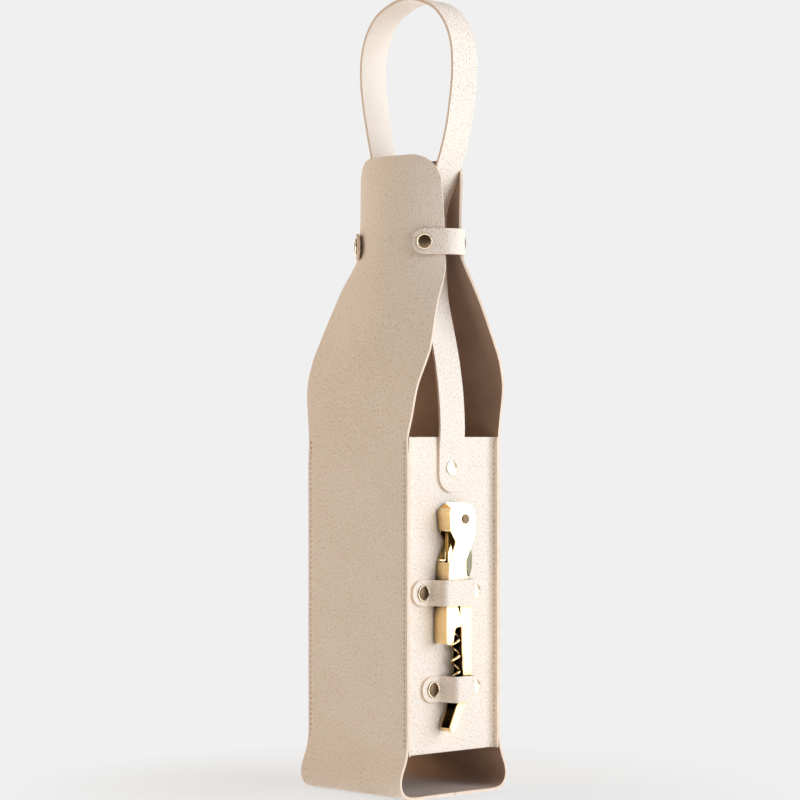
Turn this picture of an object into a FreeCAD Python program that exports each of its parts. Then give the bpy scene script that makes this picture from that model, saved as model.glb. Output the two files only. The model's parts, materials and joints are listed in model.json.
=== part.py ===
import FreeCAD, Part
import math
import os

import Sketcher

# Leather carrier for one wine bottle, with a folding corkscrew strapped to its right side.
# Frame: +Z up, origin on the floor under the middle, front panel towards -Y, corkscrew on +X.
# All lengths are millimetres and are kept in the spreadsheet; shares are plain ratios.

sizes = {
    # strip of leather that makes the front, the base and the back
    "leather": 1.6,
    "panel_width": 86,
    "carrier_depth": 76,
    "shoulder_height": 208,
    "base_round": 9.5,
    "base_bulge": 5.4,
    # side gussets
    "gusset_foot": 25,
    "gusset_recess": 4,
    "gusset_bend": 2.6,
    # flaps above the shoulder
    "flap_height": 164,
    "flap_corner": 15,
    "neck_lean": 5,
    # carry strap
    "carry_width": 19.5,
    "carry_tail": 32,
    "carry_rivet_inset": 14,
    "carry_neck_half": 20.4,
    "carry_loop_half": 40,
    "carry_loop_rise": 93,
    "carry_bend": 50,
    "loop_corner": 24,
    "loop_lean": 11.8,
    # closure straps round the neck
    "closure_width": 15,
    "closure_height": 113,
    "neck_margin": 1.5,
    "closure_cap_inset": 10,
    "closure_reach": 18.5,
    "closure_tail": 17,
    # straps that hold the corkscrew
    "tool_strap_width": 15,
    "upper_strap_drop": 42.5,
    "strap_room": 1,
    "strap_splay": 0.6,
    "strap_bend": 1.9,
    "tool_cap_inset": 6.6,
    "tool_strap_reach": 8.2,
    "tool_tail": 14.5,
    # snaps and rivets
    "cap_radius": 4.5,
    "cap_dome": 1.5,
    "cap_rim": 0.5,
    "barrel_radius": 3.4,
    "barrel_wall": 0.4,
    "stud_radius": 1.8,
    "stud_height": 0.8,
    "shank_radius": 1.2,
    "backing_radius": 3,
    "backing_plate": 0.6,
    "rivet_radius": 4,
    "rivet_dome": 1.4,
    # corkscrew
    "tool_stand": 0.36,
    "tool_depth": 22,
    "pin_height": 160.5,
    "pin_side": 1.5,
    "handle_length": 124.5,
    "lever_length": 47,
    "boot_length": 24,
    "knife_length": 33,
    "channel_gap": 7,
    "handle_plate": 0.9,
    "lever_plate": 0.8,
    "handle_web": 1.2,
    "lever_web": 1,
    "head_pin_radius": 1.6,
    "head_pin_cap": 2.8,
    "pin_cap_plate": 0.55,
    "worm_pin_radius": 1,
    "boot_pin_radius": 0.8,
    "knife_plate": 1.4,
    "worm_hub_radius": 2.6,
    "worm_hub_drop": 54.5,
    "worm_side": 2.7,
    "worm_wire": 1,
    "worm_coil": 2.2,
    "worm_pitch": 9.3,
    "worm_shank": 6.5,
    # fits
    "fold_gap": 0.3,
    "lay_gap": 0.3,
    "foot_gap": 0.05,
    "plate_gap": 0.15,
    "pin_gap": 0.04,
    "hole_gap": 0.05,
    "overrun": 20,
}
worm_turns = 4

doc = FreeCAD.newDocument("BottleCarrier")
sheet = doc.addObject("Spreadsheet::Sheet", "Sizes")
for row, (alias, amount) in enumerate(sizes.items(), start=1):
    cell = "B%d" % row
    sheet.set("A%d" % row, alias)
    sheet.set(cell, str(amount))
    sheet.setAlias(cell, alias)
doc.recompute()


class Size:
    """A length with the expression that binds it to the sheet."""

    def __init__(self, value, text):
        self.value = float(value)
        self.text = text

    @staticmethod
    def of(other):
        return other if isinstance(other, Size) else Size(other, repr(other))

    def join(self, other, sign, value):
        return Size(value, "(%s %s %s)" % (self.text, sign, other.text))

    def __add__(self, other):
        other = Size.of(other)
        return self.join(other, "+", self.value + other.value)

    def __sub__(self, other):
        other = Size.of(other)
        return self.join(other, "-", self.value - other.value)

    def __mul__(self, other):
        other = Size.of(other)
        return self.join(other, "*", self.value * other.value)

    def __truediv__(self, other):
        other = Size.of(other)
        return self.join(other, "/", self.value / other.value)

    def __radd__(self, other):
        return Size.of(other) + self

    def __rsub__(self, other):
        return Size.of(other) - self

    def __rmul__(self, other):
        return Size.of(other) * self

    def __neg__(self):
        return Size(-self.value, "(-1 * %s)" % self.text)


def size(alias):
    return Size(sheet.get(alias), "Sizes." + alias)


zero = Size(0, "0")


def bind(thing, path, amount):
    """Tie one property of a document object to the sheet."""
    thing.setExpression(path, Size.of(amount).text)


def new_body(label, base=()):
    body = doc.addObject("PartDesign::Body", label)
    body.Label = label
    for axis, amount in zip("xyz", base):
        bind(body, "Placement.Base." + axis, amount)
    return body


def origin_part(body, role):
    return next(part for part in body.Origin.OriginFeatures if part.Role == role)


def fix_point(sketch, geo, end, axis, amount):
    """Hold one coordinate of a sketch point at a size from the sheet."""
    if amount.text == "0":
        sketch.addConstraint(Sketcher.Constraint("PointOnObject", geo, end, -2 if axis == "X" else -1))
        return
    index = sketch.addConstraint(Sketcher.Constraint("Distance" + axis, geo, end, amount.value))
    name = "%s_%d_%d" % (axis, geo, end)
    sketch.renameConstraint(index, name)
    bind(sketch, "Constraints." + name, amount)


def draw_loop(sketch, corners):
    """Add a closed loop of lines and arcs.

    Each corner is (u, v) or (u, v, radius, turn): an arc with that radius leads to the next
    corner, anticlockwise for turn 1 and clockwise for turn -1.
    """
    first = sketch.GeometryCount
    ends = []
    for place, corner in enumerate(corners):
        after = corners[(place + 1) % len(corners)]
        start = FreeCAD.Vector(corner[0].value, corner[1].value, 0)
        stop = FreeCAD.Vector(after[0].value, after[1].value, 0)
        if len(corner) == 2:
            sketch.addGeometry(Part.LineSegment(start, stop), False)
            ends.append((1, 2))
            continue
        radius, turn = corner[2], corner[3]
        chord = stop - start
        left = FreeCAD.Vector(-chord.y, chord.x, 0).normalize()
        rise = math.sqrt(max(radius.value ** 2 - chord.Length ** 2 / 4, 0))
        centre = (start + stop) * 0.5 + left * (turn * rise)
        low, high = (start, stop) if turn > 0 else (stop, start)
        begin = math.atan2(low.y - centre.y, low.x - centre.x)
        finish = math.atan2(high.y - centre.y, high.x - centre.x)
        circle = Part.Circle(centre, FreeCAD.Vector(0, 0, 1), radius.value)
        sketch.addGeometry(Part.ArcOfCircle(circle, begin, finish), False)
        ends.append((1, 2) if turn > 0 else (2, 1))
    for place, corner in enumerate(corners):
        geo = first + place
        after = (place + 1) % len(corners)
        sketch.addConstraint(
            Sketcher.Constraint("Coincident", geo, ends[place][1], first + after, ends[after][0]))
        fix_point(sketch, geo, ends[place][0], "X", corner[0])
        fix_point(sketch, geo, ends[place][0], "Y", corner[1])
        if len(corner) > 2:
            index = sketch.addConstraint(Sketcher.Constraint("Radius", geo, corner[2].value))
            sketch.renameConstraint(index, "R_%d" % geo)
            bind(sketch, "Constraints.R_%d" % geo, corner[2])


def draw_circle(sketch, u, v, radius):
    centre = FreeCAD.Vector(u.value, v.value, 0)
    geo = sketch.addGeometry(Part.Circle(centre, FreeCAD.Vector(0, 0, 1), radius.value), False)
    fix_point(sketch, geo, 3, "X", u)
    fix_point(sketch, geo, 3, "Y", v)
    index = sketch.addConstraint(Sketcher.Constraint("Radius", geo, radius.value))
    sketch.renameConstraint(index, "R_%d" % geo)
    bind(sketch, "Constraints.R_%d" % geo, radius)


def new_sketch(body, role, loops=(), circles=(), rise=None):
    sketch = body.newObject("Sketcher::SketchObject", body.Label + "_sketch")
    sketch.AttachmentSupport = (origin_part(body, role), [""])
    sketch.MapMode = "FlatFace"
    if rise is not None:
        bind(sketch, "AttachmentOffset.Base.z", rise)
    for corners in loops:
        draw_loop(sketch, corners)
    for circle in circles:
        draw_circle(sketch, *circle)
    doc.recompute()
    return sketch


def pad(body, sketch, length, both_ways=False):
    feature = body.newObject("PartDesign::Pad", body.Label + "_pad")
    feature.Profile = sketch
    bind(feature, "Length", length)
    if both_ways:
        feature.SideType = "Symmetric"
    doc.recompute()
    if "Invalid" in feature.State or feature.Shape.isNull():
        raise RuntimeError("a pad of %s failed" % body.Label)
    return feature


def pocket(body, sketch, length=None):
    """Cut both ways from the sketch: right through, or over a length."""
    before = body.Shape.Volume
    feature = body.newObject("PartDesign::Pocket", body.Label + "_pocket")
    feature.Profile = sketch
    feature.SideType = "Symmetric"
    if length is None:
        feature.Type = "ThroughAll"
    else:
        bind(feature, "Length", length)
    doc.recompute()
    if not body.Shape.Volume < before:
        raise RuntimeError("a cut in %s removed nothing" % body.Label)
    return feature


def revolve(label, corners):
    """A turned piece: corners are (radius, height), turned about the local Z axis."""
    body = new_body(label)
    sketch = new_sketch(body, "XZ_Plane", [corners])
    feature = body.newObject("PartDesign::Revolution", label + "_turn")
    feature.Profile = sketch
    feature.ReferenceAxis = (sketch, ["V_Axis"])
    doc.recompute()
    return body


def round_corners(body, feature, corners):
    """Round the edges of an X-wise plate at (y, z, radius) corners given in the body's frame."""
    radii = {corner[2].value for corner in corners if corner[2].value > 0}
    for radius in sorted(radii, reverse=True):
        wanted = [corner for corner in corners if corner[2].value == radius]
        names = []
        for number, edge in enumerate(feature.Shape.Edges, start=1):
            low, high = edge.Vertexes[0].Point, edge.Vertexes[-1].Point
            along = (high - low).normalize() if (high - low).Length > 0 else high
            if abs(along.x) < 1 - 1e-6:
                continue
            for corner in wanted:
                if math.hypot(low.y - corner[0].value, low.z - corner[1].value) < 1e-4:
                    names.append("Edge%d" % number)
        blend = body.newObject("PartDesign::Fillet", body.Label + "_round")
        blend.Base = (feature, names)
        bind(blend, "Radius", wanted[0][2])
        doc.recompute()
        if "Invalid" in blend.State or blend.Shape.isNull():
            raise RuntimeError("a rounding of %s failed at radius %s" % (body.Label, radius))
        feature = blend
    return feature


def turn_to(axis):
    return FreeCAD.Rotation(FreeCAD.Vector(0, 0, 1), axis)


def shaped(label, shape):
    """A sub-part whose shape is worked out here from the sheet's values."""
    thing = doc.addObject("Part::Feature", label)
    thing.Label = label
    thing.Shape = shape
    thing.Placement = FreeCAD.Placement()
    return thing


leather = size("leather")
half_width = size("panel_width") / 2
half_depth = size("carrier_depth") / 2
shoulder = size("shoulder_height")
foot = size("gusset_foot")
lay_gap = size("lay_gap")

# One strip folded in a U: front wall, rounded base, back wall.
# The wall swells outward under the gusset before it turns below the bottle.
base_round = size("base_round")
swell_rise = foot - base_round
swell_ratio = size("base_bulge") / swell_rise
swell_sin = 2 * swell_ratio / (1 + swell_ratio * swell_ratio)
swell_cos = (1 - swell_ratio * swell_ratio) / (1 + swell_ratio * swell_ratio)
swell_round = swell_rise / swell_sin - base_round
swell_out = half_depth + swell_round * (1 - swell_cos)
swell_low = foot - swell_round * swell_sin
base_half = swell_out - base_round * swell_cos
inner_depth = half_depth - leather
inner_out = half_depth + swell_round - (swell_round + leather) * swell_cos
inner_low = foot - (swell_round + leather) * swell_sin

body_panel = new_body("body_panel")
panel_loop = [
    (-half_depth, shoulder),
    (-half_depth, foot, swell_round, -1),
    (-swell_out, swell_low, base_round, 1),
    (-base_half, zero),
    (base_half, zero, base_round, 1),
    (swell_out, swell_low, swell_round, -1),
    (half_depth, foot),
    (half_depth, shoulder),
    (inner_depth, shoulder),
    (inner_depth, foot, swell_round + leather, 1),
    (inner_out, inner_low, base_round - leather, -1),
    (base_half, leather),
    (-base_half, leather, base_round - leather, -1),
    (-inner_out, inner_low, swell_round + leather, 1),
    (-inner_depth, foot),
    (-inner_depth, shoulder),
]
pad(body_panel, new_sketch(body_panel, "YZ_Plane", [panel_loop]), size("panel_width"), both_ways=True)

# Side gussets: recessed walls whose edges turn outward and lie inside the strip's edges.
gusset_face = half_width - size("gusset_recess")
gusset_bend = size("gusset_bend")
stud_hole = size("shank_radius") + size("hole_gap")
splay = size("strap_splay")
carry_rivet_z = shoulder - size("carry_tail") + size("carry_rivet_inset")


# Straps that hold the corkscrew: their walls clear the tool's outline by the strap's room, and the
# wall away from the fold leans out so that it also clears the tool's corner as the strap opens.
plate_gap = size("plate_gap")
handle_half = size("channel_gap") / 2 + size("handle_plate")
lever_inner = handle_half + plate_gap
lever_half = lever_inner + size("lever_plate")
pin_gap = size("pin_gap")
tool_x = gusset_face + size("tool_stand") + size("pin_cap_plate") + pin_gap + lever_half
tool_rise = tool_x + lever_half - (gusset_face + size("foot_gap") + leather)
depth = size("tool_depth")
pin_y = size("pin_side")
pin_z = size("pin_height")
handle_length = size("handle_length")
handle_back_share, handle_front_share, lever_front_share = 0.25, -0.25, -0.66
lower_strap_share = 0.791
fold_run_share = 1.2


def strap_marks(front_share, level):
    """Walls beside the tool and, along Y, the cap, fold and rivet of one tool strap."""
    room = size("strap_room")
    front = -pin_y - depth * front_share
    left = room + front
    right = room + pin_y + depth * handle_back_share
    fold = right + splay + leather / 2 + size("strap_bend") * fold_run_share
    swing = tool_rise * tool_rise / (2 * (fold + front))
    cap = -(left + swing + size("tool_cap_inset"))
    rivet = fold + size("tool_tail") / 2
    return {
        "left": left, "right": right, "swing": swing, "cap": cap, "rivet": rivet, "fold": fold,
        "level": level}


upper_marks = strap_marks(lever_front_share, pin_z - size("upper_strap_drop"))
lower_marks = strap_marks(handle_front_share, pin_z - handle_length * lower_strap_share)


def gusset(label, side):
    body = new_body(label, (zero, zero, foot))
    inside = gusset_face - leather
    bent = inside + gusset_bend
    tight = gusset_bend - leather
    loop = [
        (half_width, -inner_depth),
        (bent, -inner_depth, gusset_bend, -1),
        (inside, -inner_depth + gusset_bend),
        (inside, inner_depth - gusset_bend, gusset_bend, -1),
        (bent, inner_depth),
        (half_width, inner_depth),
        (half_width, inner_depth - leather),
        (bent, inner_depth - leather, tight, 1),
        (gusset_face, inner_depth - gusset_bend),
        (gusset_face, -inner_depth + gusset_bend, tight, 1),
        (bent, -inner_depth + leather),
        (half_width, -inner_depth + leather),
    ]
    if side < 0:
        loop = [(-c[0],) + tuple(c[1:3]) + tuple(-t for t in c[3:]) for c in loop]
    pad(body, new_sketch(body, "XY_Plane", [loop]), shoulder - foot)
    holes = [(zero, carry_rivet_z - foot, stud_hole)]
    if side > 0:
        for marks in (upper_marks, lower_marks):
            holes.append((marks["cap"], marks["level"] - foot, stud_hole))
            holes.append((marks["rivet"], marks["level"] - foot, stud_hole))
    pocket(body, new_sketch(body, "YZ_Plane", circles=holes))
    return body


gusset("right_gusset", 1)
gusset("left_gusset", -1)

# Flaps: the strip goes on above the gussets, widens over the bottle's shoulder and is drawn in
# to the neck, where its section is an arc and the closure straps lie on it.
# Each row: half width, edge, sag and lean, as shares of the half width, the half depth (twice)
# and the neck's lean; the rows below the neck are placed by shares of the neck's foot.
flap_foot = shoulder + size("fold_gap")
flap_height = size("flap_height")
neck_lean = size("neck_lean")
closure_rise = size("closure_height")
neck_half = size("closure_width") / 2 + size("neck_margin")
neck_foot = closure_rise - neck_half
neck_top = closure_rise + neck_half
shoulder_shares = [
    (0.0, 0.990, 0.989, 0.011, 0.0),
    (0.0946, 1.035, 0.963, 0.021, 0.0),
    (0.279, 1.105, 0.921, 0.040, 0.05),
    (0.413, 1.150, 0.790, 0.092, 0.15),
    (0.4905, 1.150, 0.710, 0.132, 0.25),
    (0.741, 1.050, 0.489, 0.263, 0.6),
]
neck_shares = (0.856, 0.184, 0.395, 1.0)
top_shares = (0.814, 0.237, 0.284, 1.2)
flap_rows = [(neck_foot * row[0] if row[0] else zero,) + row[1:] for row in shoulder_shares]
flap_rows += [(neck_foot,) + neck_shares, (neck_top,) + neck_shares, (flap_height,) + top_shares]
neck_row = flap_rows[-2]
top_row = flap_rows[-1]


def flap_section(row):
    """Half width, edge, arc radius, arc centre and lean of one row, for the back flap."""
    half = half_width * row[1]
    edge = half_depth * row[2]
    sag = half_depth * row[3]
    radius = (half * half + sag * sag) / (2 * sag)
    return half, edge, radius, edge + sag - radius, neck_lean * row[4]


def flap_blank(label, side):
    body = new_body(label, (zero, zero, flap_foot))
    sections = []
    for row in flap_rows:
        half, edge, radius, centre, lean = flap_section(row)
        shrink = (radius - leather) / radius
        inner_edge = centre + (edge - centre) * shrink
        loop = [
            (lean - half, side * edge, radius, -side),
            (lean + half, side * edge),
            (lean + half * shrink, side * inner_edge, radius - leather, side),
            (lean - half * shrink, side * inner_edge),
        ]
        sections.append(new_sketch(body, "XY_Plane", [loop], rise=row[0]))
    loft = body.newObject("PartDesign::AdditiveLoft", label + "_loft")
    loft.Profile = sections[0]
    loft.Sections = sections[1:]
    loft.Ruled = True
    doc.recompute()
    corner = size("flap_corner")
    over = size("overrun")
    half, lean = flap_section(top_row)[0], flap_section(top_row)[4]
    loops = []
    for way in (1, -1):
        edge_x = lean + way * half
        loops.append([
            (edge_x - way * corner, flap_height, corner, -way),
            (edge_x, flap_height - corner),
            (edge_x + way * over, flap_height - corner),
            (edge_x + way * over, flap_height + over),
            (edge_x - way * corner, flap_height + over),
        ])
    pocket(body, new_sketch(body, "XZ_Plane", loops))
    return body


def neck_frame(side, way, inset, lift=0.0):
    """Point, outward normal and along-arc direction at an arc length in from a neck edge."""
    half, edge, radius, centre, lean = (part.value for part in flap_section(neck_row))
    angle = math.asin(half / radius) - inset / radius
    normal = FreeCAD.Vector(way * math.sin(angle), side * math.cos(angle), 0)
    middle = FreeCAD.Vector(lean, side * centre, 0)
    point = middle + normal * (radius + lift)
    along = FreeCAD.Vector(-way * math.cos(angle), side * math.sin(angle), 0)
    return point, normal, along


def value(alias):
    return float(sheet.get(alias))


closure_z = FreeCAD.Vector(0, 0, (flap_foot + closure_rise).value)


def cut_holes(label, body, spots):
    """The finished flap: its blank less a hole along the normal at each (point, normal)."""
    drills = []
    for point, normal in spots:
        drill = doc.addObject("Part::Cylinder", label + "_drill")
        bind(drill, "Radius", stud_hole)
        bind(drill, "Height", size("overrun"))
        start = point - normal * (value("overrun") / 2)
        drill.Placement = FreeCAD.Placement(start, turn_to(normal))
        drills.append(drill)
    both = doc.addObject("Part::MultiFuse", label + "_drills")
    both.Shapes = drills
    cut = doc.addObject("Part::Cut", label)
    cut.Label = label
    cut.Base = body
    cut.Tool = both
    doc.recompute()
    return cut


def neck_spots(side, inset, lift=0.0):
    spots = []
    for way in (1, -1):
        point, normal, along = neck_frame(side, way, inset, lift)
        spots.append((point + closure_z, normal))
    return spots


tail_rivet_inset = value("closure_tail") / 2
cut_holes(
    "front_flap", flap_blank("front_blank", -1), neck_spots(-1, value("closure_cap_inset")))
cut_holes("back_flap", flap_blank("back_blank", 1), neck_spots(1, tail_rivet_inset))


def band(points, bends, thick):
    """Face of a bent strip: a centre line of lines and tangent arcs, thickened both ways."""
    ahead = [(points[n + 1] - points[n]).normalize() for n in range(len(points) - 1)]
    sides = {}
    for side in (1, -1):
        edges = []
        shift = side * thick / 2
        left = [FreeCAD.Vector(-way.y, way.x, 0) for way in ahead]
        last = points[0] + left[0] * shift
        first = last
        for n in range(1, len(points) - 1):
            before, after = ahead[n - 1], ahead[n]
            turn = before.cross(after).z
            half_tan = math.tan(before.getAngle(after) / 2)
            reach = bends[n - 1] * half_tan
            enter = points[n] - before * reach
            leave = points[n] + after * reach
            sense = 1 if turn > 0 else -1
            centre = enter + left[n - 1] * (sense * bends[n - 1])
            out = (points[n] - centre).normalize()
            radius = bends[n - 1] - sense * shift
            corner_in = enter + left[n - 1] * shift
            corner_out = leave + left[n] * shift
            edges.append(Part.makeLine(last, corner_in))
            edges.append(Part.Arc(corner_in, centre + out * radius, corner_out).toShape())
            last = corner_out
        stop = points[-1] + left[-1] * shift
        edges.append(Part.makeLine(last, stop))
        sides[side] = (first, edges, stop)
    closing = [Part.makeLine(sides[1][2], sides[-1][2]), Part.makeLine(sides[-1][0], sides[1][0])]
    wire = Part.Wire(Part.__sortEdges__(sides[1][1] + sides[-1][1] + closing))
    return Part.Face(wire)


def round_end(shape, point, normal, along, width):
    """Round a strap's end: keep a disc of half the width about a point on its outer face."""
    span = value("overrun")
    across = normal.cross(along)
    frame = FreeCAD.Matrix(
        along.x, across.x, normal.x, point.x,
        along.y, across.y, normal.y, point.y,
        along.z, across.z, normal.z, point.z, 0, 0, 0, 1)
    block = Part.makeBox(span, 2 * span, span, FreeCAD.Vector(0, -span, -span / 2))
    disc = Part.makeCylinder(width / 2, span, FreeCAD.Vector(0, 0, -span / 2))
    waste = block.cut(disc)
    waste.Placement = FreeCAD.Placement(frame)
    return shape.cut(waste)


def drill(shape, point, normal, radius):
    span = value("overrun")
    return shape.cut(Part.makeCylinder(radius, span, point - normal * (span / 2), normal))


def vec(x, y, z=0.0):
    return FreeCAD.Vector(x, y, z)


axis_x = vec(1, 0, 0)
thick = value("leather")
face_x = gusset_face.value
hole_radius = stud_hole.value

# Carry strap: riveted to both gussets, drawn in beside the bottle's neck, looped above it.
carry_width = value("carry_width")
carry_x = face_x + thick / 2
carry_foot = shoulder.value - value("carry_tail")
loop_top = shoulder.value + flap_height.value + value("carry_loop_rise")
neck_x = value("carry_neck_half")
loop_x = value("carry_loop_half")
carry_rise_share, carry_neck_share, carry_top_share = 0.1735, 0.867, 0.55
loop_low_share, loop_high_share, crown_share = 0.32, 0.72, 0.49
carry_right = [
    (carry_x, carry_foot, 0.0),
    (carry_x, (shoulder + neck_foot * carry_rise_share).value, 0.0),
    (neck_x, (shoulder + neck_foot * carry_neck_share).value, neck_lean.value),
    (neck_x, (shoulder + neck_top + (flap_height - neck_top) * carry_top_share).value, neck_lean.value),
    (loop_x, loop_top - value("carry_loop_rise") * (1 - loop_low_share), value("loop_lean")),
    (loop_x, loop_top - value("carry_loop_rise") * (1 - loop_high_share), value("loop_lean")),
    (loop_x * crown_share, loop_top, value("loop_lean")),
]
carry_line = [vec(x + lean, z) for x, z, lean in carry_right]
carry_line += [vec(lean - x, z) for x, z, lean in reversed(carry_right)]
bend = value("carry_bend")
half_bends = [bend, bend, bend, bend, value("loop_corner"), value("loop_corner")]
carry_face = band(carry_line, half_bends + half_bends[::-1], thick)
carry_shape = carry_face.extrude(vec(0, 0, carry_width))
carry_shape.Placement = FreeCAD.Placement(
    vec(0, carry_width / 2, 0), FreeCAD.Rotation(axis_x, 90))
for way in (1, -1):
    out = axis_x * way
    tip = vec(way * (face_x + thick), 0, carry_foot + carry_width / 2)
    carry_shape = round_end(carry_shape, tip, out, vec(0, 0, -1), carry_width)
    carry_shape = drill(carry_shape, vec(way * face_x, 0, carry_rivet_z.value), out, hole_radius)
shaped("carry_strap", carry_shape)

# Closure straps: a tail riveted to the back flap and a tongue that wraps the gap to the front.
cap_hole = value("barrel_radius") + value("hole_gap")


def neck_band(side, way, start, stop, lift):
    """Two arcs of a strap lying on a neck flap, between arc lengths in from the flap's edge."""
    arcs = []
    for height in (lift, lift + thick):
        spots = [neck_frame(side, way, inset, height)[0] for inset in (start, (start + stop) / 2, stop)]
        arcs.append(spots)
    return arcs


def extrude_strap(wire_edges):
    wire = Part.Wire(Part.__sortEdges__(wire_edges))
    width = value("closure_width")
    solid = Part.Face(wire).extrude(vec(0, 0, width))
    solid.translate(closure_z - vec(0, 0, width / 2))
    return solid


def arc(spots):
    return Part.Arc(*spots).toShape()


def closure_tail(label, way):
    inner, outer = neck_band(1, way, value("fold_gap"), value("closure_tail"), lay_gap.value)
    solid = extrude_strap([
        arc(inner), arc(outer),
        Part.makeLine(inner[0], outer[0]), Part.makeLine(inner[2], outer[2])])
    width = value("closure_width")
    point, normal, along = neck_frame(1, way, value("closure_tail") - width / 2, lay_gap.value + thick)
    solid = round_end(solid, point + closure_z, normal, along, width)
    point, normal, along = neck_frame(1, way, tail_rivet_inset)
    return shaped(label, drill(solid, point + closure_z, normal, hole_radius))


def closure_tongue(label, way):
    reach = value("closure_reach")
    inner, outer = neck_band(-1, way, 0.0, reach, lay_gap.value)
    half, edge, radius, centre, lean = (part.value for part in flap_section(neck_row))
    normal = neck_frame(1, way, 0.0)[1]
    turn = edge / normal.y
    middle = vec(lean + way * half, edge) - normal * turn
    edges = [arc(inner), arc(outer), Part.makeLine(inner[2], outer[2])]
    ends = []
    for lift in (lay_gap.value, lay_gap.value + thick):
        span = turn + lift
        front = middle + vec(normal.x, -normal.y) * span
        back = middle + normal * span
        edges.append(arc([front, middle + axis_x * (way * span), back]))
        ends.append(back)
    edges.append(Part.makeLine(*ends))
    solid = extrude_strap(edges)
    width = value("closure_width")
    point, normal, along = neck_frame(-1, way, reach - width / 2, lay_gap.value + thick)
    solid = round_end(solid, point + closure_z, normal, along, width)
    point, normal, along = neck_frame(-1, way, value("closure_cap_inset"))
    return shaped(label, drill(solid, point + closure_z, normal, cap_hole))


for name, way in (("right", 1), ("left", -1)):
    closure_tail(name + "_closure_tail", way)
    closure_tongue(name + "_closure_strap", way)

# Tool straps: a riveted tail on the gusset and a tongue that bridges the corkscrew.
bridge_x = (tool_x + lever_half + plate_gap).value + thick / 2
foot_x = face_x + value("foot_gap") + thick / 2
tail_x = face_x + thick / 2
strap_width = value("tool_strap_width")


def side_strap(line, bends, level):
    """A strap across the right gusset: its line is given as (y, x) places."""
    face = band([vec(-y, x) for y, x in line], bends, thick)
    solid = face.extrude(vec(0, 0, strap_width))
    solid.Placement = FreeCAD.Placement(
        vec(0, 0, level - strap_width / 2), FreeCAD.Rotation(vec(0, 0, 1), -90))
    return solid


def tool_strap(name, marks):
    level, cap_y, fold_y, rivet_y, left, right, swing = (
        marks[key].value for key in ("level", "cap", "fold", "rivet", "left", "right", "swing"))
    left_y = -(left + thick / 2)
    right_y = right + thick / 2
    spread = splay.value
    tip_y = cap_y - value("tool_strap_reach")
    line = [
        (tip_y, foot_x),
        (left_y - swing, foot_x),
        (left_y, bridge_x),
        (right_y, bridge_x),
        (right_y + spread, foot_x),
        (fold_y, foot_x),
    ]
    tongue = side_strap(line, [value("strap_bend")] * 4, level)
    tip = vec(foot_x + thick / 2, tip_y + strap_width / 2, level)
    tongue = round_end(tongue, tip, axis_x, vec(0, -1, 0), strap_width)
    shaped(name + "_strap", drill(tongue, vec(face_x, cap_y, level), axis_x, cap_hole))
    start_y = fold_y + value("fold_gap")
    end_y = fold_y + value("tool_tail")
    tail = side_strap([(start_y, tail_x), (end_y, tail_x)], [], level)
    tip = vec(tail_x + thick / 2, end_y - strap_width / 2, level)
    tail = round_end(tail, tip, axis_x, vec(0, 1, 0), strap_width)
    shaped(name + "_tail", drill(tail, vec(face_x, rivet_y, level), axis_x, hole_radius))


tool_strap("upper_tool", upper_marks)
tool_strap("lower_tool", lower_marks)

# Snaps and rivets, each turned about the line that it is set along.
shank = size("shank_radius")
backing = size("backing_radius")
backing_plate = size("backing_plate")
rim = size("cap_rim")
lip_share = 0.25


def place(body, point, normal):
    body.Placement = FreeCAD.Placement(point, turn_to(normal))
    return body


def rivet(label, point, normal, grip, seat):
    """A domed rivet: height 0 on the outer leather, a backing plate under the grip."""
    head = size("rivet_radius")
    dome = size("rivet_dome")
    round_over = (head * head + (dome - rim) * (dome - rim)) / (2 * (dome - rim))
    low = -(grip + seat)
    corners = [
        (zero, dome, round_over, -1),
        (head, rim),
        (head, zero),
        (shank, zero),
        (shank, low),
        (backing, low),
        (backing, low - backing_plate),
        (zero, low - backing_plate),
    ]
    return place(revolve(label, corners), point, normal)


def stud(label, point, normal, grip, seat):
    """The fixed half of a snap: a button outside and a backing plate inside."""
    button = size("stud_radius")
    low = -(grip + seat)
    corners = [
        (zero, size("stud_height")),
        (button, size("stud_height")),
        (button, zero),
        (shank, zero),
        (shank, low),
        (backing, low),
        (backing, low - backing_plate),
        (zero, low - backing_plate),
    ]
    return place(revolve(label, corners), point, normal)


def cap(label, point, normal):
    """The moving half of a snap: a domed cap with a hollow barrel; height 0 under the strap."""
    head = size("cap_radius")
    dome = size("cap_dome")
    barrel = size("barrel_radius")
    round_over = (head * head + (dome - rim) * (dome - rim)) / (2 * (dome - rim))
    lip = backing_plate * lip_share
    roof = leather - lip
    corners = [
        (zero, leather + dome, round_over, -1),
        (head, leather + rim),
        (head, leather),
        (barrel, leather),
        (barrel, lip),
        (barrel - size("barrel_wall"), lip),
        (barrel - size("barrel_wall"), roof),
        (zero, roof),
    ]
    return place(revolve(label, corners), point, normal)


carry_z = carry_rivet_z.value
two_layers = leather + leather
for name, way in (("right", 1), ("left", -1)):
    spot = vec(way * (face_x + thick), 0, carry_z)
    rivet(name + "_carry_rivet", spot, axis_x * way, two_layers, zero)
    point, normal, along = neck_frame(1, way, tail_rivet_inset, lay_gap.value + thick)
    rivet(name + "_closure_rivet", point + closure_z, normal, two_layers + lay_gap, lay_gap)
    point, normal, along = neck_frame(-1, way, value("closure_cap_inset"))
    stud(name + "_closure_stud", point + closure_z, normal, leather, lay_gap)
    cap(name + "_closure_cap", point + closure_z + normal * lay_gap.value, normal)
for name, marks in (("upper", upper_marks), ("lower", lower_marks)):
    level = marks["level"].value
    spot = vec(face_x, marks["cap"].value, level)
    stud(name + "_tool_stud", spot, axis_x, leather, zero)
    cap(name + "_tool_cap", spot + axis_x * value("foot_gap"), axis_x)
    spot = vec(face_x + thick, marks["rivet"].value, level)
    rivet(name + "_tool_rivet", spot, axis_x, two_layers, zero)

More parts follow.
